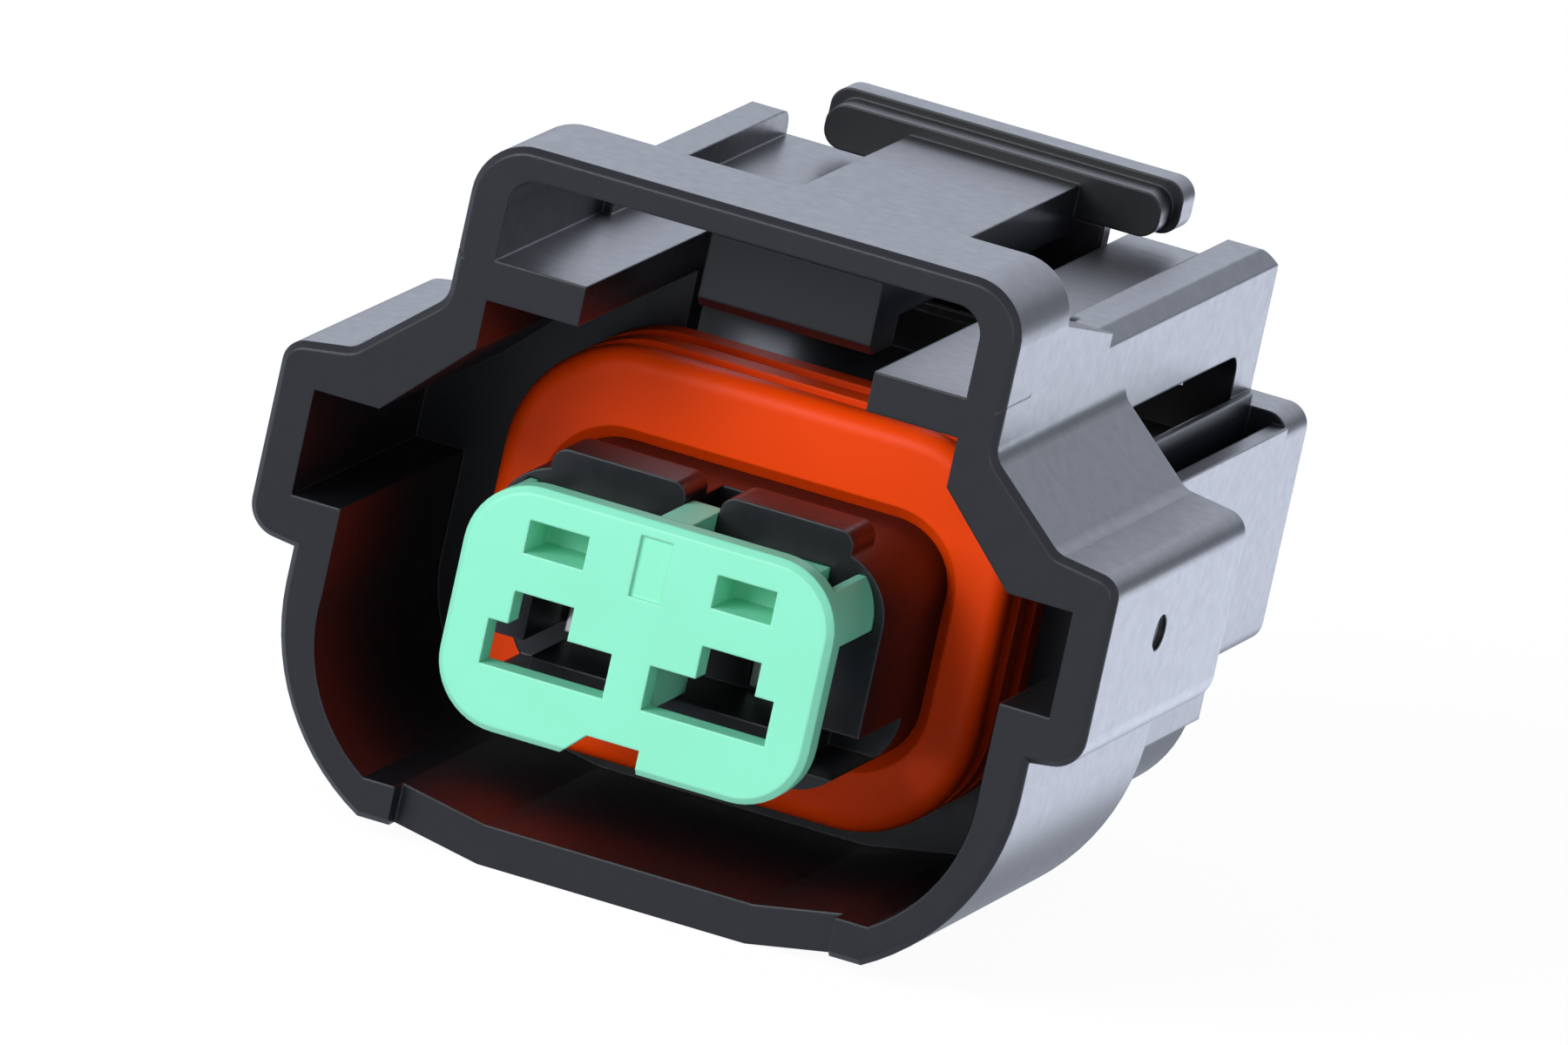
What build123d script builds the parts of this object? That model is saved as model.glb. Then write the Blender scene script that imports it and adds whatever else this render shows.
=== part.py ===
from build123d import *
import os

# Two-way sealed harness plug: housing, lock lever, front retainer, seals and contacts.
# Millimetres. +Z is up, the mating face looks towards -Y, and the part is symmetric about X = 0.
# The plug rests on Z = 0. Depths written as y below are counted back from the front rim of the hood.

os.makedirs("parts", exist_ok=True)

# Overall depths
hood_depth = 12.0
body_depth = 25.3
retainer_proud = 2.6
rim_y = (retainer_proud - body_depth) / 2

# Hood, half outline seen from the front
wall = 1.2
floor_half = 4.2
heel_half = 6.9
tip_half = 7.9
tip_z = 0.5
oval_half = 11.5
oval_z = 6.6
oval_sag = 0.95
inner_sag = 0.76
ear_reach = 1.55
ear_low_z = 7.7
ear_radius = 1.0
channel_z = 9.2
ear_top_z = 13.6
ear_depth = 2.05
shoulder_z = 13.9
neck_half = 8.55
neck_z = 16.1
outline_radius = 0.7
rim_setback = 0.7
rim_chamfer = 0.2
ear_slope = 0.2
dimple_y = 5.2
dimple_z = 11.25
dimple_radius = 0.55
dimple_depth = 0.15

# Roof of the hood: shelves, slot, bridge and guard fins
deck_z = 17.6
slot_half = 4.5
strip_half = 3.9
bridge_depth = 4.6
bridge_top_z = 21.1
bridge_thickness = 0.9
bridge_radius = 1.7
fin_thickness = 1.5
fin_top_z = 18.4
fin_foot_z = 15.5
fin_start_y = 9.4
fin_chamfer = 0.45

# Tower, its mouth and the two cavities
tower_width = 12.2
tower_low_z = 4.7
tower_top_z = 11.95
tower_radius = 1.9
tower_front_y = 1.1
lobe_outer = 4.7
lobe_height = 0.6
lobe_length = 2.0
lobe_radius = 0.45
pitch = 5.8
mouth_half = 4.4
mouth_depth = 4.6
mouth_margin = 0.1
notch_overlap = 0.3
notch_low_z = 5.3
notch_height = 1.4
notch_depth = 3.9

# Rear body
body_half = 8.95
body_low_z = 0.9
body_radius = 3.6
rib_reach = 0.25
rib_z = 14.45
rib_thickness = 0.25
saddle_z = 12.8
flange_depth = 2.0
flange_top_z = 14.1
wing_reach = 1.53
wing_thickness = 0.5
wing_low_z = 6.7
wing_top_z = 13.75
trough_z = 12.0
well_wall_z = 16.8
lip_low_z = 5.2
lip_end_y = 20.7

# Contacts and wire seals
contact_width = 2.8
contact_height = 3.0
contact_length = 7.0
contact_sheet = 0.25
contact_floor_z = 6.4
blade_width = 2.3
blade_height = 0.85
contact_gap = 0.05
barrel_radius = 1.0
barrel_length = 2.0
ring_length = 1.5
lance_length = 1.2
lance_width = 1.15
tongue_length = 4.65
wire_seal_radius = 2.5
wire_seal_length = 6.0
wire_seal_lips = 3
wire_seal_groove = 0.35
wire_seal_neck = 1.45
wire_radius = 1.1

# Perimeter seal
seal_length = 4.4
seal_side = 1.85
seal_above = 2.7
seal_below = 2.25
seal_lips = 3
seal_groove = 0.35
seal_round = 0.6
seal_lead = 0.4

# Front retainer
retainer_width = 11.5
retainer_height = 7.4
retainer_z = 8.42
retainer_plate = 0.9
retainer_radius = 2.05
plate_chamfer = 0.2
retainer_gap = 0.05
web_half = 0.5
web_drop = 0.15
prong_width = 2.5
prong_height = 1.4
prong_length = 4.9
prong_z = 9.95
snap_height = 1.5
snap_length = 3.6
snap_thickness = 0.75
snap_z = 9.9
t_bar_inner = 0.6
t_bar_outer = 4.45
t_bar_z = 6.65
t_bar_height = 1.35
t_stem_inner = 2.0
t_stem_outer = 3.85
t_stem_height = 1.0
window_height = 1.0
window_z = 10.15
window_depth = 2.0
mark_height = 1.85
mark_z = 9.8
mark_depth = 0.12
foot_notch_half = 0.82
foot_notch_height = 0.75

# Lock lever
arm_half = 2.7
arm_thickness = 1.5
arm_top_z = 19.1
nose_y = 5.2
nose_length = 2.2
nose_drop = 0.9
nose_lead = 0.3
nose_chamfer = 0.2
pivot_y = 17.5
pivot_radius = 0.6
pivot_gap = 0.05
hub_radius = 1.15
pin_reach = 0.8
tab_half = 5.6
tab_depth = 2.2
tab_gap = 0.5
tab_top_z = 19.75
tab_radius = 0.6
tab_steps = 1
tab_step_rise = 0.28
tab_step_run = 1.1

# Derived sizes
cavity_depth = hood_depth - wall
ear_half = oval_half + ear_reach
shoulder_half = ear_half - ear_depth
fin_half = neck_half
rib_half = body_half + rib_reach
wing_half = body_half + wing_reach
pivot_z = deck_z - wall / 2
tab_front_y = body_depth - tab_depth
tab_low_z = deck_z + tab_gap
plate_rear_y = retainer_plate - retainer_proud
retainer_travel = tower_front_y - plate_rear_y - retainer_gap
tower_half = tower_width / 2
tower_height = tower_top_z - tower_low_z
tower_z = (tower_top_z + tower_low_z) / 2
cavity_half = contact_width / 2 + contact_gap
lance_half = lance_width / 2
cavity_height = contact_height + 2 * contact_gap
bore_z = contact_floor_z + contact_height / 2
contact_front_y = mouth_depth + contact_gap
contact_rear_y = contact_front_y + contact_length
barrel_end_y = contact_rear_y + 2 * barrel_length
neck_start_y = barrel_end_y + contact_gap
seal_start_y = neck_start_y + ring_length
bore_start_y = barrel_end_y - contact_sheet - contact_gap
saddle_end_y = body_depth - flange_depth


def front_plane(y):
    """Plane that faces the front, y millimetres behind the rim."""
    return Plane.XZ.offset(-(rim_y + y))


def block(x_span, y_span, z_span, mode=Mode.ADD):
    """Box between three pairs of limits, its y counted from the rim."""
    sizes = [span[1] - span[0] for span in (x_span, y_span, z_span)]
    middle = [(span[1] + span[0]) / 2 for span in (x_span, y_span, z_span)]
    with Locations((middle[0], rim_y + middle[1], middle[2])):
        Box(*sizes, mode=mode)


def both_sides(inner, outer):
    """The two x spans of a feature that stands on both sides of the middle."""
    return ((inner, outer), (-outer, -inner))


def snap_profile(side, gap):
    """Section of one snap arm, which follows the edge of the retainer's plate."""
    with Locations((0, retainer_z)):
        RectangleRounded(retainer_width + 2 * gap, retainer_height + 2 * gap, retainer_radius + gap)
    with Locations((side * (retainer_width - snap_thickness) / 2, snap_z + snap_height / 2)):
        Rectangle(snap_thickness + 2 * gap, snap_height + 2 * gap, mode=Mode.INTERSECT)


# Housing, one moulding
with BuildPart() as housing:
    # Hood up to the deck
    with BuildSketch(front_plane(hood_depth)):
        with BuildLine():
            Polyline((0, 0), (floor_half, 0), (heel_half, tip_z), (tip_half, tip_z))
            SagittaArc((tip_half, tip_z), (oval_half, oval_z), -oval_sag)
            Line((oval_half, oval_z), (oval_half, ear_low_z))
            FilletPolyline(
                (oval_half, ear_low_z),
                (ear_half, ear_low_z + ear_slope),
                (ear_half, ear_top_z),
                (shoulder_half, shoulder_z),
                (neck_half, neck_z),
                (neck_half, deck_z),
                radius=[ear_radius, outline_radius, outline_radius, outline_radius],
            )
            Line((neck_half, deck_z), (0, deck_z))
            mirror(about=Plane.YZ)
        make_face()
    extrude(amount=hood_depth)

    # Bridge over the lever
    with BuildSketch(front_plane(bridge_depth)):
        with Locations((0, (bridge_top_z + neck_z) / 2)):
            RectangleRounded(2 * neck_half, bridge_top_z - neck_z, bridge_radius)
        with Locations((0, deck_z - bridge_radius)):
            Rectangle(2 * neck_half, 2 * (deck_z - bridge_radius - neck_z))
    extrude(amount=bridge_depth)
    chamfer(housing.faces().sort_by(Axis.Y)[0].outer_wire().edges(), rim_chamfer)

    # Side walls that fall from the bridge to the fins, and the fins with their feet
    for inner, outer in both_sides(neck_half - wall, neck_half):
        with BuildSketch(Plane.YZ.offset(inner)):
            with BuildLine():
                Polyline(
                    (rim_y + bridge_depth / 2, neck_z),
                    (rim_y + hood_depth, neck_z),
                    (rim_y + hood_depth, fin_top_z),
                    (rim_y + fin_start_y, fin_top_z),
                    (rim_y + bridge_depth, bridge_top_z - bridge_radius),
                    (rim_y + bridge_depth / 2, bridge_top_z - bridge_radius),
                    close=True,
                )
            make_face()
        extrude(amount=outer - inner)
    for inner, outer in both_sides(fin_half - fin_thickness, fin_half):
        with BuildSketch(Plane.YZ.offset(inner)):
            with BuildLine():
                FilletPolyline(
                    (rim_y + fin_start_y, fin_foot_z),
                    (rim_y + fin_start_y, fin_top_z),
                    (rim_y + body_depth, fin_top_z),
                    (rim_y + body_depth, flange_top_z - wall),
                    (rim_y + saddle_end_y, flange_top_z - wall),
                    (rim_y + saddle_end_y, fin_foot_z),
                    close=True,
                    radius=outline_radius,
                )
            make_face()
        extrude(amount=outer - inner)
    with BuildSketch(front_plane(body_depth)):
        with BuildLine():
            Polyline((fin_half, fin_top_z), (fin_half - fin_chamfer, fin_top_z), (fin_half, fin_top_z - fin_chamfer),
                     close=True)
        make_face()
        mirror(about=Plane.YZ)
    extrude(amount=body_depth - fin_start_y, mode=Mode.SUBTRACT)
    for span in both_sides(strip_half, fin_half - fin_thickness / 2):
        block(span, (hood_depth - wall, body_depth), (deck_z - wall, deck_z))

    # Rear body: saddle with side ribs and wings, then the flange that closes the troughs
    with BuildSketch(front_plane(saddle_end_y)):
        with BuildLine():
            FilletPolyline((0, body_low_z), (body_half, body_low_z), (body_half, wing_low_z), radius=body_radius)
            FilletPolyline((body_half, wing_low_z), (wing_half, wing_low_z), (wing_half, wing_top_z),
                           radius=outline_radius)
            Polyline(
                (wing_half, wing_top_z),
                (wing_half - wing_thickness, wing_top_z),
                (wing_half - wing_thickness, trough_z),
                (rib_half, trough_z),
                (rib_half, rib_z),
                (rib_half - rib_thickness, rib_z),
                (rib_half - rib_thickness, saddle_z),
                (0, saddle_z),
            )
            mirror(about=Plane.YZ)
        make_face()
    extrude(amount=saddle_end_y - cavity_depth)
    with BuildSketch(front_plane(body_depth)):
        with BuildLine():
            FilletPolyline((0, body_low_z), (body_half, body_low_z), (body_half, wing_low_z), radius=body_radius)
            FilletPolyline((body_half, wing_low_z), (wing_half, wing_low_z), (wing_half, flange_top_z),
                           (0, flange_top_z), radius=outline_radius)
            mirror(about=Plane.YZ)
        make_face()
    extrude(amount=flange_depth)
    block((-strip_half - wall, strip_half + wall), (body_depth - wall, body_depth), (flange_top_z - wall, well_wall_z))
    for span in both_sides(body_half - wall, wing_half):
        block(span, (cavity_depth, lip_end_y), (lip_low_z, wing_low_z + outline_radius))

    # Space inside the hood, with the ear channels and the slot in the roof
    with BuildSketch(front_plane(cavity_depth)):
        with BuildLine():
            Polyline((0, wall), (floor_half, wall), (heel_half, tip_z + wall), (tip_half, tip_z + wall))
            SagittaArc((tip_half, tip_z + wall), (oval_half - wall, oval_z), -inner_sag)
            Polyline(
                (oval_half - wall, oval_z),
                (oval_half - wall, channel_z),
                (ear_half - wall, channel_z),
                (ear_half - wall, ear_top_z - wall),
                (shoulder_half - wall, ear_top_z - wall),
                (neck_half - wall, neck_z - wall),
                (neck_half - wall, deck_z - wall),
                (slot_half, deck_z - wall),
                (slot_half, deck_z),
                (0, deck_z),
            )
            mirror(about=Plane.YZ)
        make_face()
    extrude(amount=cavity_depth, mode=Mode.SUBTRACT)
    with BuildSketch(front_plane(bridge_depth)):
        window_low_z = deck_z - bridge_radius
        window_top_z = bridge_top_z - bridge_thickness
        with Locations((0, (window_low_z + window_top_z) / 2)):
            RectangleRounded(2 * (neck_half - wall), window_top_z - window_low_z, bridge_radius / 2)
        with Locations((0, deck_z - bridge_radius)):
            Rectangle(2 * neck_half, 2 * bridge_radius, mode=Mode.SUBTRACT)
    extrude(amount=bridge_depth, mode=Mode.SUBTRACT)
    block((-slot_half, slot_half), (cavity_depth, hood_depth), (saddle_z, deck_z), mode=Mode.SUBTRACT)
    block((-heel_half, heel_half), (0, rim_setback), (0, tip_z + wall), mode=Mode.SUBTRACT)

    # Tower with two lobes on top of its front
    with BuildSketch(front_plane(cavity_depth)):
        with Locations((0, tower_z)):
            RectangleRounded(tower_width, tower_height, tower_radius)
    extrude(amount=cavity_depth - tower_front_y)
    guide = web_half + retainer_gap
    for inner, outer in both_sides(guide, lobe_outer):
        with BuildSketch(front_plane(tower_front_y + lobe_length)):
            with Locations(((inner + outer) / 2, tower_top_z)):
                RectangleRounded(outer - inner, 2 * lobe_height, lobe_radius)
        extrude(amount=lobe_length)

    # Mouth of the tower, with the slots that guide the retainer
    mouth_low_z = contact_floor_z - mouth_margin
    mouth_top_z = contact_floor_z + cavity_height + mouth_margin
    block((-mouth_half, mouth_half), (tower_front_y, mouth_depth), (mouth_low_z, mouth_top_z), mode=Mode.SUBTRACT)
    block((-guide, guide), (tower_front_y, mouth_depth), (mouth_top_z, tower_top_z), mode=Mode.SUBTRACT)
    prong_end_y = plate_rear_y + prong_length + retainer_travel + retainer_gap
    snap_end_y = plate_rear_y + snap_length + retainer_travel + retainer_gap
    for side in (-1, 1):
        middle = side * pitch / 2
        half = prong_width / 2 + retainer_gap
        block((middle - half, middle + half), (tower_front_y, prong_end_y),
              (prong_z - retainer_gap, prong_z + prong_height + retainer_gap), mode=Mode.SUBTRACT)
        with BuildSketch(front_plane(snap_end_y)):
            snap_profile(side, retainer_gap)
        extrude(amount=snap_end_y - tower_front_y, mode=Mode.SUBTRACT)
    for span in both_sides(mouth_half - notch_overlap, tower_half):
        block(span, (tower_front_y, tower_front_y + notch_depth), (notch_low_z, notch_low_z + notch_height),
              mode=Mode.SUBTRACT)

    # Cavities for the contacts and bores for the wire seals
    for side in (-1, 1):
        middle = side * pitch / 2
        block((middle - cavity_half, middle + cavity_half), (mouth_depth, bore_start_y),
              (contact_floor_z, contact_floor_z + cavity_height), mode=Mode.SUBTRACT)
        with BuildSketch(front_plane(body_depth)):
            with Locations((middle, bore_z)):
                Circle(wire_seal_radius)
        extrude(amount=body_depth - bore_start_y, mode=Mode.SUBTRACT)
        lance_y = contact_front_y + contact_length / 2
        block((middle - lance_half, middle + lance_half),
              (lance_y - lance_length / 2 + contact_gap, lance_y + lance_length / 2 - contact_gap),
              (contact_floor_z + contact_height - contact_sheet, contact_floor_z + cavity_height))

    # Round sink marks in the sides of the ears
    for face_x, out in ((ear_half, 1), (-ear_half, -1)):
        with BuildSketch(Plane.YZ.offset(face_x)):
            with Locations((rim_y + dimple_y, dimple_z)):
                Circle(dimple_radius)
        extrude(amount=-out * dimple_depth, mode=Mode.SUBTRACT)

    # Pins for the lever, on the inner edges of the deck
    for inner, outer in both_sides(arm_half - pin_reach, strip_half + wall / 2):
        with BuildSketch(Plane.YZ.offset(inner)):
            with Locations((rim_y + pivot_y, pivot_z)):
                Circle(pivot_radius)
        extrude(amount=outer - inner)
housing.part.label = "housing"
export_step(housing.part, "parts/housing.step")

# Lock lever: rocking arm with a nose in front and a thumb tab behind
with BuildPart() as lock_lever:
    arm_low_z = arm_top_z - arm_thickness
    tab_height = tab_top_z - tab_low_z
    with BuildSketch(Plane.YZ.offset(-arm_half)):
        with BuildLine():
            Polyline(
                (rim_y + nose_y, arm_low_z - nose_drop + nose_lead),
                (rim_y + nose_y, arm_top_z - nose_chamfer),
                (rim_y + nose_y + nose_chamfer, arm_top_z),
                (rim_y + tab_front_y + tab_depth / 2, arm_top_z),
                (rim_y + tab_front_y + tab_depth / 2, tab_low_z),
                (rim_y + tab_front_y, arm_low_z),
                (rim_y + nose_y + nose_length, arm_low_z),
                (rim_y + nose_y + nose_length, arm_low_z - nose_drop),
                (rim_y + nose_y + nose_lead, arm_low_z - nose_drop),
                close=True,
            )
        make_face()
        with Locations((rim_y + pivot_y, pivot_z)):
            Circle(hub_radius)
    extrude(amount=2 * arm_half)
    for step in range(tab_steps + 1):
        front_y = tab_front_y + step * tab_step_run
        drop = (tab_steps - step) * tab_step_rise
        with BuildSketch(front_plane(tab_front_y + tab_depth)):
            with Locations((0, tab_low_z + (tab_height - drop) / 2)):
                RectangleRounded(2 * (tab_half - drop), tab_height - drop, tab_radius)
        extrude(amount=tab_front_y + tab_depth - front_y)
    for inner, outer in both_sides(arm_half - pin_reach - pivot_gap, arm_half):
        with BuildSketch(Plane.YZ.offset(inner)):
            with Locations((rim_y + pivot_y, pivot_z)):
                Circle(pivot_radius + pivot_gap)
        extrude(amount=outer - inner, mode=Mode.SUBTRACT)
lock_lever.part.label = "lock_lever"
export_step(lock_lever.part, "parts/lock_lever.step")

# Front retainer: plate with two T slots, a middle web, two prongs and two snap arms
with BuildPart() as front_retainer:
    with BuildSketch(front_plane(plate_rear_y)):
        with Locations((0, retainer_z)):
            RectangleRounded(retainer_width, retainer_height, retainer_radius)
    extrude(amount=retainer_plate)
    chamfer(front_retainer.faces().sort_by(Axis.Y)[0].outer_wire().edges(), plate_chamfer)
    retainer_low_z = retainer_z - retainer_height / 2
    retainer_top_z = retainer_z + retainer_height / 2
    web_end_y = mouth_depth - retainer_gap - retainer_travel
    block((-web_half, web_half), (plate_rear_y, web_end_y), (mouth_low_z + mouth_margin, retainer_top_z - web_drop))
    for side in (-1, 1):
        middle = side * pitch / 2
        block((middle - prong_width / 2, middle + prong_width / 2), (plate_rear_y, plate_rear_y + prong_length),
              (prong_z, prong_z + prong_height))
        with BuildSketch(front_plane(plate_rear_y + snap_length)):
            snap_profile(side, 0)
        extrude(amount=snap_length)
    for span in both_sides(t_bar_inner, t_bar_outer):
        block(span, (-retainer_proud, plate_rear_y), (t_bar_z, t_bar_z + t_bar_height), mode=Mode.SUBTRACT)
    for span in both_sides(t_stem_inner, t_stem_outer):
        block(span, (-retainer_proud, plate_rear_y), (t_bar_z, t_bar_z + t_bar_height + t_stem_height),
              mode=Mode.SUBTRACT)
        block(span, (-retainer_proud, window_depth - retainer_proud), (window_z, window_z + window_height),
              mode=Mode.SUBTRACT)
    block((-web_half, web_half), (-retainer_proud, mark_depth - retainer_proud), (mark_z, mark_z + mark_height),
          mode=Mode.SUBTRACT)
    with BuildSketch(front_plane(plate_rear_y)):
        with BuildLine():
            Polyline(
                (-foot_notch_half - foot_notch_height, retainer_low_z),
                (foot_notch_half, retainer_low_z),
                (foot_notch_half, retainer_low_z + foot_notch_height),
                (-foot_notch_half, retainer_low_z + foot_notch_height),
                close=True,
            )
        make_face()
    extrude(amount=retainer_plate, mode=Mode.SUBTRACT)
front_retainer.part.label = "front_retainer"
export_step(front_retainer.part, "parts/front_retainer.step")

# Perimeter seal: ring round the tower, thicker above and below, with lips outside
with BuildPart() as perimeter_seal:
    lip_pitch = seal_length / (2 * seal_lips - 1)
    lip_width = tower_width + 2 * seal_side
    lip_height = tower_height + seal_above + seal_below
    lip_radius = tower_radius + seal_side
    lip_z = tower_z + (seal_above - seal_below) / 2
    with BuildSketch(front_plane(cavity_depth)):
        with Locations((0, lip_z)):
            RectangleRounded(lip_width - 2 * seal_groove, lip_height - 2 * seal_groove, lip_radius - seal_groove)
    extrude(amount=seal_length)
    for lip in range(seal_lips):
        with BuildSketch(front_plane(cavity_depth - 2 * lip * lip_pitch)):
            with Locations((0, lip_z)):
                RectangleRounded(lip_width, lip_height, lip_radius)
        extrude(amount=lip_pitch)
    fillet(perimeter_seal.faces().sort_by(Axis.Y)[0].outer_wire().edges(), seal_round)
    with BuildSketch(front_plane(cavity_depth)):
        with Locations((0, tower_z)):
            RectangleRounded(tower_width, tower_height, tower_radius)
    extrude(amount=seal_length, mode=Mode.SUBTRACT)
    chamfer(perimeter_seal.faces().sort_by(Axis.Y)[0].inner_wires()[0].edges(), seal_lead)
perimeter_seal.part.label = "perimeter_seal"
export_step(perimeter_seal.part, "parts/perimeter_seal.step")

# Contacts: folded box, conductor crimp and the ring that grips the wire seal
for side, place in ((-1, "left"), (1, "right")):
    middle = side * pitch / 2
    with BuildPart() as contact:
        with BuildSketch(front_plane(contact_rear_y)):
            with Locations((middle, bore_z)):
                Rectangle(contact_width, contact_height)
                Rectangle(contact_width - 2 * contact_sheet, contact_height - 2 * contact_sheet, mode=Mode.SUBTRACT)
        extrude(amount=contact_length)
        lance_y = contact_front_y + contact_length / 2
        lance_top_z = contact_floor_z + contact_height
        block((middle - lance_half - contact_gap, middle + lance_half + contact_gap),
              (lance_y - lance_length / 2, lance_y + lance_length / 2),
              (lance_top_z - contact_sheet, lance_top_z), mode=Mode.SUBTRACT)
        tongue_low_z = contact_floor_z + contact_sheet + blade_height
        block((middle - contact_width / 2 + contact_sheet, middle + contact_width / 2 - contact_sheet),
              (contact_front_y, contact_front_y + tongue_length),
              (tongue_low_z, tongue_low_z + contact_sheet))
        with BuildSketch(front_plane(contact_rear_y)):
            with Locations((middle, bore_z)):
                Rectangle(contact_width, contact_height)
        with BuildSketch(front_plane(contact_rear_y + barrel_length)):
            with Locations((middle, bore_z)):
                Circle(barrel_radius)
        loft()
        with BuildSketch(front_plane(barrel_end_y)):
            with Locations((middle, bore_z)):
                Circle(barrel_radius)
        extrude(amount=barrel_length)
        with BuildSketch(front_plane(barrel_end_y)):
            with Locations((middle, bore_z)):
                Circle(wire_seal_neck + contact_sheet)
        extrude(amount=contact_sheet)
        with BuildSketch(front_plane(barrel_end_y + ring_length)):
            with Locations((middle, bore_z)):
                Circle(wire_seal_neck + contact_sheet)
                Circle(wire_seal_neck, mode=Mode.SUBTRACT)
        extrude(amount=ring_length)
    contact.part.label = "contact_" + place
    export_step(contact.part, "parts/contact_" + place + ".step")

# Wire seals: neck held by the contact's ring, then lips that fill the bore
for side, place in ((-1, "left"), (1, "right")):
    middle = side * pitch / 2
    with BuildPart() as wire_seal:
        seal_end_y = seal_start_y + wire_seal_length
        with BuildSketch(front_plane(seal_end_y)):
            with Locations((middle, bore_z)):
                Circle(wire_seal_radius - wire_seal_groove)
        extrude(amount=wire_seal_length)
        wire_lip_pitch = wire_seal_length / (2 * wire_seal_lips - 1)
        for lip in range(wire_seal_lips):
            with BuildSketch(front_plane(seal_end_y - 2 * lip * wire_lip_pitch)):
                with Locations((middle, bore_z)):
                    Circle(wire_seal_radius)
            extrude(amount=wire_lip_pitch)
        with BuildSketch(front_plane(seal_start_y)):
            with Locations((middle, bore_z)):
                Circle(wire_seal_neck)
        extrude(amount=ring_length)
        with BuildSketch(front_plane(seal_end_y)):
            with Locations((middle, bore_z)):
                Circle(wire_radius)
        extrude(amount=wire_seal_length + ring_length, mode=Mode.SUBTRACT)
    wire_seal.part.label = "wire_seal_" + place
    export_step(wire_seal.part, "parts/wire_seal_" + place + ".step")
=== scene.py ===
# %% [markdown]
# # A sealed harness plug
# The object is a two-way sealed plug from a vehicle's wiring loom. A black moulded hood surrounds a small
# tower, a mint green retainer closes the tower's mouth, an orange rubber ring seals it, and a lever with a
# thumb tab rocks under a bridge on top. We start from the engineering model, which is already in metres and
# already in place, and we never move it. Everything below dresses that model.

# %% Load the frame
import bpy
from math import cos, pi, radians, sin
from mathutils import Matrix, Vector


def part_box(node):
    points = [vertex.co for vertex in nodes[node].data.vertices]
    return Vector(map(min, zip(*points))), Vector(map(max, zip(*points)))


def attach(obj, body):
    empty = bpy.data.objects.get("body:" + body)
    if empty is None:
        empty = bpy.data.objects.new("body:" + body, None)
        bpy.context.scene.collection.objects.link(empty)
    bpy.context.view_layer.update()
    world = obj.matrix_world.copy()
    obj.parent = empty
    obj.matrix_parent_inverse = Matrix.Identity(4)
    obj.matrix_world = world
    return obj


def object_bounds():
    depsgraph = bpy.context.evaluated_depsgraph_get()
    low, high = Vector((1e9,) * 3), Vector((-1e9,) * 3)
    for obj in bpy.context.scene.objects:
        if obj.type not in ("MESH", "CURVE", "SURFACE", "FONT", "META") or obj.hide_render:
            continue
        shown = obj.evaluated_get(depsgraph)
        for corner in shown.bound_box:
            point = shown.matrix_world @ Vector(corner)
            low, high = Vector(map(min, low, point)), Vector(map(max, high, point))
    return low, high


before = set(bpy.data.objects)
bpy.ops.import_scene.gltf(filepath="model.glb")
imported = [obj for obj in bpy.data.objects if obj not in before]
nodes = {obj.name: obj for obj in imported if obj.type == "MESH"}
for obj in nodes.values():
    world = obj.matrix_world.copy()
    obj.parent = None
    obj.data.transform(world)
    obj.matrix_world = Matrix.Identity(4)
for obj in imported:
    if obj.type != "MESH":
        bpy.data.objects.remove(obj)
cad_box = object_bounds()
mm = 0.001
print("nodes", sorted(nodes))
print("CAD box in mm", [[round(v / mm, 2) for v in corner] for corner in cad_box])

# %% [markdown]
# ## The camera
# A long lens from a metre away keeps the plug's edges almost parallel, as in a catalogue picture. The
# camera stands to the right of the mating face and a little above it, and it is rolled, so that the plug's
# floor line falls to the right. One known point of the plug, the middle of the rim, is put at its place in
# the picture. That fixes the aim without any lens shift.

# %% Camera
picture_width, picture_height = 1800, 1200
view_azimuth, view_elevation, view_roll = radians(16.22), radians(13.5), radians(12.49)
view_distance = 1000 * mm
pixels_per_mm = 39.82
rim_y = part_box("housing")[0].y
aim_point = Vector((0, rim_y, 11.5 * mm))
aim_pixel = (787.3, 608.9)

back = Vector((sin(view_azimuth) * cos(view_elevation), -cos(view_azimuth) * cos(view_elevation),
               sin(view_elevation)))
level_right = (-back).cross(Vector((0, 0, 1))).normalized()
level_down = (-back).cross(level_right)
right = level_right * cos(view_roll) - level_down * sin(view_roll)
down = level_right * sin(view_roll) + level_down * cos(view_roll)
metres_per_pixel = mm / pixels_per_mm
shift_right = (aim_pixel[0] - picture_width / 2) * metres_per_pixel
shift_down = (aim_pixel[1] - picture_height / 2) * metres_per_pixel

camera_data = bpy.data.cameras.new("camera")
camera_data.sensor_width = 36
camera_data.lens = camera_data.sensor_width * (view_distance / mm) * pixels_per_mm / picture_width
camera_data.clip_start = 0.01
camera_data.clip_end = 10
camera = bpy.data.objects.new("camera", camera_data)
place = aim_point + back * view_distance - right * shift_right - down * shift_down
camera.matrix_world = Matrix.Translation(place) @ Matrix((right, -down, back)).transposed().to_4x4()
bpy.context.collection.objects.link(camera)
bpy.context.scene.camera = camera
print("lens", round(camera_data.lens, 1), "mm, camera at", [round(v, 4) for v in place])

# %% [markdown]
# ## What the camera and the reflections see
# The picture has a plain white ground. Extra light could bleach a grey ground, but it would bleach the plug
# too. So the ground is made white only for the rays that look at it, and the light stays as it is. Black
# plastic shows its form mostly by what it mirrors at a shallow angle. Reflections therefore meet a faintly
# cool white, which gives the plug the steel-blue sheen that it has in the picture.

# %% A ray test that floor and world share
cool_white = (0.79, 0.85, 1.0)


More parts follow.
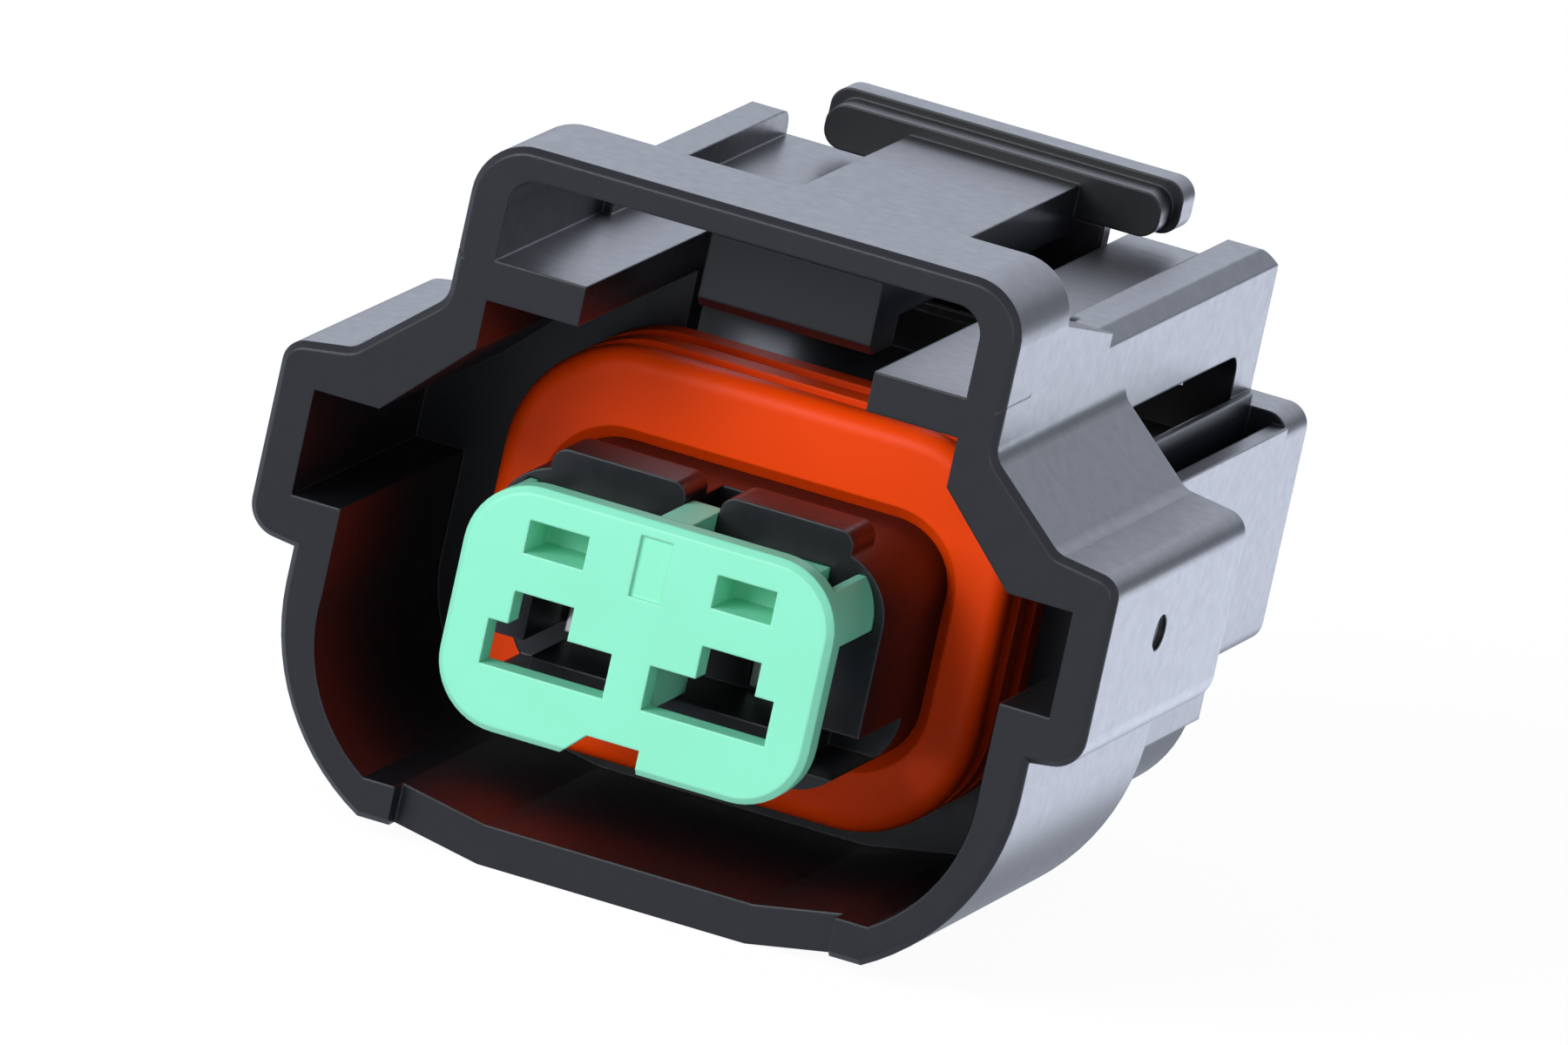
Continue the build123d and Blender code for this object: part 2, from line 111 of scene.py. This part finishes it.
def seen_white(tree):
    """Adds the colour that camera and glossy rays see, and a value that is 1 for those rays."""
    path = tree.nodes.new("ShaderNodeLightPath")
    seen = tree.nodes.new("ShaderNodeMath")
    seen.operation = "MAXIMUM"
    tree.links.new(path.outputs["Is Camera Ray"], seen.inputs[0])
    tree.links.new(path.outputs["Is Glossy Ray"], seen.inputs[1])
    white = tree.nodes.new("ShaderNodeMix")
    white.data_type = "RGBA"
    white.inputs["A"].default_value = (1, 1, 1, 1)
    white.inputs["B"].default_value = (*cool_white, 1)
    tree.links.new(path.outputs["Is Glossy Ray"], white.inputs["Factor"])
    return white.outputs["Result"], seen.outputs[0]


print("white for the camera, and", cool_white, "in reflections")

# %% [markdown]
# ## Floor
# The floor is a wide pale sheet just below the plug. For the lamps it is matt and throws some light back up.
# For the camera and for reflections nine tenths of it glow white, and the last tenth is still matt, so that
# a little of the plug's shadow shows. A catcher of shadows alone would give no light back.

# %% Floor
floor_colour, floor_glow, floor_seen_share = (0.85, 0.85, 0.86), 1.06, 0.9
floor_half_width, floor_gap = 2.0, 0.02 * mm


def pale_material(name, colour, seen_share):
    """Diffuse for the light, and mostly plain white for camera and glossy rays."""
    material = bpy.data.materials.new(name)
    material.use_nodes = True
    tree = material.node_tree
    tree.nodes.clear()
    white, seen = seen_white(tree)
    diffuse = tree.nodes.new("ShaderNodeBsdfDiffuse")
    diffuse.inputs["Color"].default_value = (*colour, 1)
    glow = tree.nodes.new("ShaderNodeEmission")
    glow.inputs["Strength"].default_value = floor_glow
    share = tree.nodes.new("ShaderNodeMath")
    share.operation = "MULTIPLY"
    share.inputs[1].default_value = seen_share
    mix = tree.nodes.new("ShaderNodeMixShader")
    out = tree.nodes.new("ShaderNodeOutputMaterial")
    tree.links.new(white, glow.inputs["Color"])
    tree.links.new(seen, share.inputs[0])
    tree.links.new(share.outputs[0], mix.inputs["Fac"])
    tree.links.new(diffuse.outputs[0], mix.inputs[1])
    tree.links.new(glow.outputs[0], mix.inputs[2])
    tree.links.new(mix.outputs[0], out.inputs["Surface"])
    return material


def make_floor(half_width):
    """A square sheet round the origin."""
    mesh = bpy.data.meshes.new("floor")
    corners = [(-half_width, -half_width, 0), (half_width, -half_width, 0), (half_width, half_width, 0),
               (-half_width, half_width, 0)]
    mesh.from_pydata(corners, [], [(0, 1, 2, 3)])
    floor = bpy.data.objects.new("floor", mesh)
    mesh.materials.append(pale_material("pale_floor", floor_colour, floor_seen_share))
    bpy.context.collection.objects.link(floor)
    return floor


floor = make_floor(floor_half_width)
floor.location.z = cad_box[0][2] - floor_gap
print("floor at", round(floor.location.z / mm, 3), "mm")

# %% [markdown]
# ## World
# The world is the room around the table. It lights the plug faintly and evenly, so that no hollow is quite
# black, and it looks white to the camera and cool white in reflections, as the floor does.

# %% World
world_light = 0.15
world = bpy.data.worlds.new("studio")
bpy.context.scene.world = world
world.use_nodes = True
sky = world.node_tree
sky.nodes.clear()
sky_white, sky_seen = seen_white(sky)
sky_level = sky.nodes.new("ShaderNodeMapRange")
sky_level.inputs["To Min"].default_value = world_light
sky_colour = sky.nodes.new("ShaderNodeBackground")
sky_out = sky.nodes.new("ShaderNodeOutputWorld")
sky.links.new(sky_seen, sky_level.inputs["Value"])
sky.links.new(sky_white, sky_colour.inputs["Color"])
sky.links.new(sky_level.outputs["Result"], sky_colour.inputs["Strength"])
sky.links.new(sky_colour.outputs[0], sky_out.inputs["Surface"])
print("world at", world_light, "for the light, 1 for what is seen")

# %% [markdown]
# ## Lamps
# A soft panel from the front left lights the green and orange faces and reaches the right side of the
# hood's mouth, and a weak one from the front right opens the shadows in the green slots. A third, behind
# and above, lights the top and the rear. The plug's right side is seen at a shallow angle and mirrors the
# ground behind it, so a bright table lies there, as a photographer would lay a sheet of white card beside a
# black object. Each lamp is given by the brightness of its face, because that is what a glossy surface
# mirrors.

# %% Lamp helpers
plug_middle = Vector((0, 0, 10 * mm))


def soft_panel(name, place, towards, width, height, brightness, colour=(1, 1, 1)):
    """Area lamp at a place, whose face looks along a direction."""
    lamp_data = bpy.data.lights.new(name, "AREA")
    lamp_data.shape = "RECTANGLE"
    lamp_data.size, lamp_data.size_y = width, height
    lamp_data.energy = brightness * width * height * pi
    lamp_data.color = colour
    lamp = bpy.data.objects.new(name, lamp_data)
    lamp.location = place
    lamp.rotation_euler = Vector(towards).to_track_quat("-Z", "Y").to_euler()
    lamp.visible_camera = False
    bpy.context.collection.objects.link(lamp)
    print(name, "gives", round(lamp_data.energy, 3), "W")
    return lamp


def round_the_plug(azimuth, elevation, distance):
    """Place of a lamp at an azimuth and an elevation in degrees, and its direction to the plug."""
    a, e = radians(azimuth), radians(elevation)
    outwards = Vector((sin(a) * cos(e), -cos(a) * cos(e), sin(e)))
    return plug_middle + outwards * distance, -outwards


print("lamps look at", [round(v / mm, 1) for v in plug_middle], "mm")

# %% Lamps
soft_panel("front_panel", *round_the_plug(azimuth=-28, elevation=23, distance=0.6),
           width=0.36, height=0.28, brightness=10.2)
soft_panel("fill_panel", *round_the_plug(azimuth=38, elevation=14, distance=0.6),
           width=0.36, height=0.28, brightness=2.2)
soft_panel("rear_panel", *round_the_plug(azimuth=190, elevation=26, distance=0.5),
           width=0.5, height=0.35, brightness=1.45, colour=cool_white)
table_left, table_right, table_front, table_rear = 14 * mm, 130 * mm, -5 * mm, 130 * mm
table_lift = 0.3 * mm
table_middle = ((table_left + table_right) / 2, (table_front + table_rear) / 2, floor.location.z + table_lift)
soft_panel("bright_table", table_middle, towards=(0, 0, 1), width=table_right - table_left,
           height=table_rear - table_front, brightness=3.4, colour=cool_white)

# %% [markdown]
# ## Skin of a moulding
# All pieces of the plug but the stamped contacts are moulded, so the finishes share one fine texture: the
# faint uneven skin that a steel mould leaves. It is one node group with its own scale and strength in each
# material, and the contacts' plating uses it too, finer and fainter. A photograph of the skin would also do,
# but a noise has no seams and stays sharp when a view comes close.


# %% Mould skin group
usual_scale, usual_variation = 1500, 0.1
fine_detail, coarse_detail, coarse_share = 3, 2, 0.12


def mould_skin_group():
    """Group: fine uneven skin of a moulding, as a colour factor and a height."""
    group = bpy.data.node_groups.new("mould_skin", "ShaderNodeTree")
    scale = group.interface.new_socket("Scale", in_out="INPUT", socket_type="NodeSocketFloat")
    scale.default_value = usual_scale
    variation = group.interface.new_socket("Variation", in_out="INPUT", socket_type="NodeSocketFloat")
    variation.default_value = usual_variation
    group.interface.new_socket("Tone", in_out="OUTPUT", socket_type="NodeSocketFloat")
    group.interface.new_socket("Height", in_out="OUTPUT", socket_type="NodeSocketFloat")
    inside = group.nodes
    entry = inside.new("NodeGroupInput")
    leave = inside.new("NodeGroupOutput")
    where = inside.new("ShaderNodeTexCoord")
    fine = inside.new("ShaderNodeTexNoise")
    fine.inputs["Detail"].default_value = fine_detail
    coarse = inside.new("ShaderNodeTexNoise")
    coarse.inputs["Detail"].default_value = coarse_detail
    coarse_scale = inside.new("ShaderNodeMath")
    coarse_scale.operation = "MULTIPLY"
    coarse_scale.inputs[1].default_value = coarse_share
    low = inside.new("ShaderNodeMath")
    low.operation = "SUBTRACT"
    low.inputs[0].default_value = 1
    tone = inside.new("ShaderNodeMapRange")
    tone.inputs["To Max"].default_value = 1
    group.links.new(where.outputs["Object"], fine.inputs["Vector"])
    group.links.new(where.outputs["Object"], coarse.inputs["Vector"])
    group.links.new(entry.outputs["Scale"], fine.inputs["Scale"])
    group.links.new(entry.outputs["Scale"], coarse_scale.inputs[0])
    group.links.new(coarse_scale.outputs[0], coarse.inputs["Scale"])
    group.links.new(entry.outputs["Variation"], low.inputs[1])
    group.links.new(low.outputs[0], tone.inputs["To Min"])
    group.links.new(coarse.outputs["Fac"], tone.inputs["Value"])
    group.links.new(tone.outputs["Result"], leave.inputs["Tone"])
    group.links.new(fine.outputs["Fac"], leave.inputs["Height"])
    return group


mould_skin = mould_skin_group()
print("group", mould_skin.name, "sockets", [item.name for item in mould_skin.interface.items_tree])

# %% [markdown]
# ## Softened edges
# No moulded edge is truly sharp. It has a radius of about a tenth of a millimetre, and it catches the light
# as a thin line. Rounding every edge of the mesh would cost many faces for a shape that is smaller than the
# eye can see, so a node group rounds only the way that the light falls there, and gives a mask of the edges
# on which each material paints a paler colour, a painted highlight along the edge.


# %% Soft edge group
edge_samples, edge_radius = 6, 0.1 * mm
edge_begins, edge_is_full = 0.98, 0.8  # how far the rounded and the flat normal still agree


def soft_edge_group():
    """Group: the normal rounded over the edges, and a mask that is 1 on an edge."""
    group = bpy.data.node_groups.new("soft_edges", "ShaderNodeTree")
    group.interface.new_socket("Normal", in_out="OUTPUT", socket_type="NodeSocketVector")
    group.interface.new_socket("Edge", in_out="OUTPUT", socket_type="NodeSocketFloat")
    inside = group.nodes
    leave = inside.new("NodeGroupOutput")
    rounding = inside.new("ShaderNodeBevel")
    rounding.samples = edge_samples
    rounding.inputs["Radius"].default_value = edge_radius
    flat = inside.new("ShaderNodeNewGeometry")
    same = inside.new("ShaderNodeVectorMath")
    same.operation = "DOT_PRODUCT"
    edge = inside.new("ShaderNodeMapRange")
    edge.inputs["From Min"].default_value = edge_begins
    edge.inputs["From Max"].default_value = edge_is_full
    group.links.new(rounding.outputs["Normal"], same.inputs[0])
    group.links.new(flat.outputs["Normal"], same.inputs[1])
    group.links.new(same.outputs["Value"], edge.inputs["Value"])
    group.links.new(rounding.outputs["Normal"], leave.inputs["Normal"])
    group.links.new(edge.outputs["Result"], leave.inputs["Edge"])
    return group


soft_edges = soft_edge_group()
print("group", soft_edges.name, "sockets", [item.name for item in soft_edges.interface.items_tree])

# %% [markdown]
# ## How a finish is put together
# The edge mask leads from the colour to a second, paler one: a painted highlight along the edges, standing
# in for the thin line of light that a rounded edge catches. The skin's tone darkens both in patches, and its
# height moves the roughness and raises a fine relief. One function wires this up for every finish, because
# only the numbers differ. Painting the edge highlights by hand would look livelier, but it would have to be
# done again for each piece.

# %% Moulded finish
roughness_swing, relief_depth = 0.05, 0.02 * mm


def moulded_finish(name, colour, edge_highlight_colour, roughness, skin_scale, variation, bump):
    """Material with the shared skin on its colour, roughness and normal, the rounded edges on its normal, and
    a painted highlight along the edges on its colour.
    """
    material = bpy.data.materials.new(name)
    material.use_nodes = True
    tree = material.node_tree
    shader = tree.nodes["Principled BSDF"]
    skin = tree.nodes.new("ShaderNodeGroup")
    skin.node_tree = mould_skin
    skin.inputs["Scale"].default_value = skin_scale
    skin.inputs["Variation"].default_value = variation
    edges = tree.nodes.new("ShaderNodeGroup")
    edges.node_tree = soft_edges
    # painted highlight: along every edge the colour is mixed towards a paler one
    edge_highlight = tree.nodes.new("ShaderNodeMix")
    edge_highlight.data_type = "RGBA"
    edge_highlight.inputs["A"].default_value = (*colour, 1)
    edge_highlight.inputs["B"].default_value = (*edge_highlight_colour, 1)
    paint = tree.nodes.new("ShaderNodeMix")
    paint.data_type = "RGBA"
    paint.blend_type = "MULTIPLY"
    paint.inputs["Factor"].default_value = 1
    rough = tree.nodes.new("ShaderNodeMapRange")
    rough.inputs["To Min"].default_value = roughness - roughness_swing
    rough.inputs["To Max"].default_value = roughness + roughness_swing
    relief = tree.nodes.new("ShaderNodeBump")
    relief.inputs["Strength"].default_value = bump
    relief.inputs["Distance"].default_value = relief_depth
    tree.links.new(edges.outputs["Edge"], edge_highlight.inputs["Factor"])
    tree.links.new(edge_highlight.outputs["Result"], paint.inputs["A"])
    tree.links.new(skin.outputs["Tone"], paint.inputs["B"])
    tree.links.new(paint.outputs["Result"], shader.inputs["Base Color"])
    tree.links.new(skin.outputs["Height"], rough.inputs["Value"])
    tree.links.new(rough.outputs["Result"], shader.inputs["Roughness"])
    tree.links.new(skin.outputs["Height"], relief.inputs["Height"])
    tree.links.new(edges.outputs["Normal"], relief.inputs["Normal"])
    tree.links.new(relief.outputs["Normal"], shader.inputs["Normal"])
    return material


print("roughness swings by", roughness_swing, "and the relief is", relief_depth / mm, "mm deep")

# %% [markdown]
# ## Black, green, orange and tin
# The housing and lever are black polyester, the retainer is mint green, the seals are orange silicone and
# the contacts are tin plated. The black mirrors a little less than plain plastic and the silicone much less,
# so their specular levels are set lower, straight on the shader. The tin is a metal, and keeps its mirror.

# %% Finishes
# the second, paler colour of each finish is a painted highlight along its edges
black_plastic = moulded_finish("black_plastic", colour=(0.006, 0.0065, 0.0085),
                               edge_highlight_colour=(0.025, 0.026, 0.03), roughness=0.36, skin_scale=2500,
                               variation=0.25, bump=0.12)
black_plastic.node_tree.nodes["Principled BSDF"].inputs["Specular IOR Level"].default_value = 0.38
green_plastic = moulded_finish("green_plastic", colour=(0.25, 0.8, 0.56), edge_highlight_colour=(0.33, 0.86, 0.64),
                               roughness=0.4, skin_scale=2500, variation=0.08, bump=0.15)
orange_rubber = moulded_finish("orange_rubber", colour=(0.98, 0.066, 0.001), edge_highlight_colour=(1.0, 0.09, 0.004),
                               roughness=0.45, skin_scale=1800, variation=0.1, bump=0.2)
orange_rubber.node_tree.nodes["Principled BSDF"].inputs["Specular IOR Level"].default_value = 0.15
tin_plate = moulded_finish("tin_plate", colour=(0.72, 0.7, 0.66), edge_highlight_colour=(0.8, 0.78, 0.74),
                           roughness=0.3, skin_scale=3000, variation=0.15, bump=0.1)
tin_plate.node_tree.nodes["Principled BSDF"].inputs["Metallic"].default_value = 1
print("finishes", sorted(m.name for m in bpy.data.materials))

# %% [markdown]
# ## Dressing the pieces
# On the real plug each piece has one material all over, so each node of the engineering model takes one
# finish for its whole mesh. Its shape and place are not touched.


# %% Dress the nodes
def dress(node_name, material):
    """Gives a carried-over node its finish."""
    mesh = nodes[node_name].data
    mesh.materials.clear()
    mesh.materials.append(material)


dress("housing", black_plastic)
dress("lock_lever", black_plastic)
dress("front_retainer", green_plastic)
dress("perimeter_seal", orange_rubber)
for way in ("left", "right"):
    dress("contact_" + way, tin_plate)
    dress("wire_seal_" + way, orange_rubber)
print("dressed", {name: node.data.materials[0].name for name, node in sorted(nodes.items())})

# %% [markdown]
# ## The web under the thumb tab
# The tab is stiffened from below by a short web that dips into the well beside the arm, so that no light
# comes through there. It moves with the lever and is moulded in the same black plastic. Its outline is drawn
# once, with rounded lower corners, and pushed back by its thickness. A box would fill the place, but its
# sharp lower corners would be wrong from behind.

# %% Tab web
web_half, web_low_z, web_high_z = 3.7 * mm, 16.5 * mm, 18.15 * mm
web_front_y, web_thickness, web_corner = rim_y + 23.15 * mm, 0.8 * mm, 0.5 * mm
corner_steps = 6
web_edge, web_edge_steps, web_edge_angle = 0.08 * mm, 2, radians(40)


def make_tab_web():
    """An upright plate with rounded lower corners and softened edges, which rides on the lever."""
    turns = [pi / 2 * i / corner_steps for i in range(corner_steps + 1)]
    right_low = [(web_half - web_corner + web_corner * sin(t), web_low_z + web_corner - web_corner * cos(t))
                 for t in turns]
    left_low = [(-x, z) for x, z in right_low[::-1]]
    outline = right_low + [(web_half, web_high_z), (-web_half, web_high_z)] + left_low
    count = len(outline)
    points = [(x, y, z) for y in (web_front_y, web_front_y + web_thickness) for x, z in outline]
    faces = [tuple(range(count)), tuple(range(2 * count - 1, count - 1, -1))]
    faces += [(i, i + count, (i + 1) % count + count, (i + 1) % count) for i in range(count)]
    mesh = bpy.data.meshes.new("tab_web")
    mesh.from_pydata(points, [], faces)
    mesh.validate()
    mesh.materials.append(black_plastic)
    web = bpy.data.objects.new("tab_web", mesh)
    bpy.context.collection.objects.link(web)
    rounding = web.modifiers.new("rounded edges", "BEVEL")
    rounding.width = web_edge
    rounding.segments = web_edge_steps
    rounding.limit_method = "ANGLE"
    rounding.angle_limit = web_edge_angle
    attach(web, "lever")
    return web


tab_web = make_tab_web()
print("tab web has", len(tab_web.data.polygons), "faces before its edges are rounded")

# %% [markdown]
# ## Close
# The pictures use the plain Standard view.

# %% End
bpy.context.scene.view_settings.view_transform = "Standard"
bpy.context.view_layer.update()
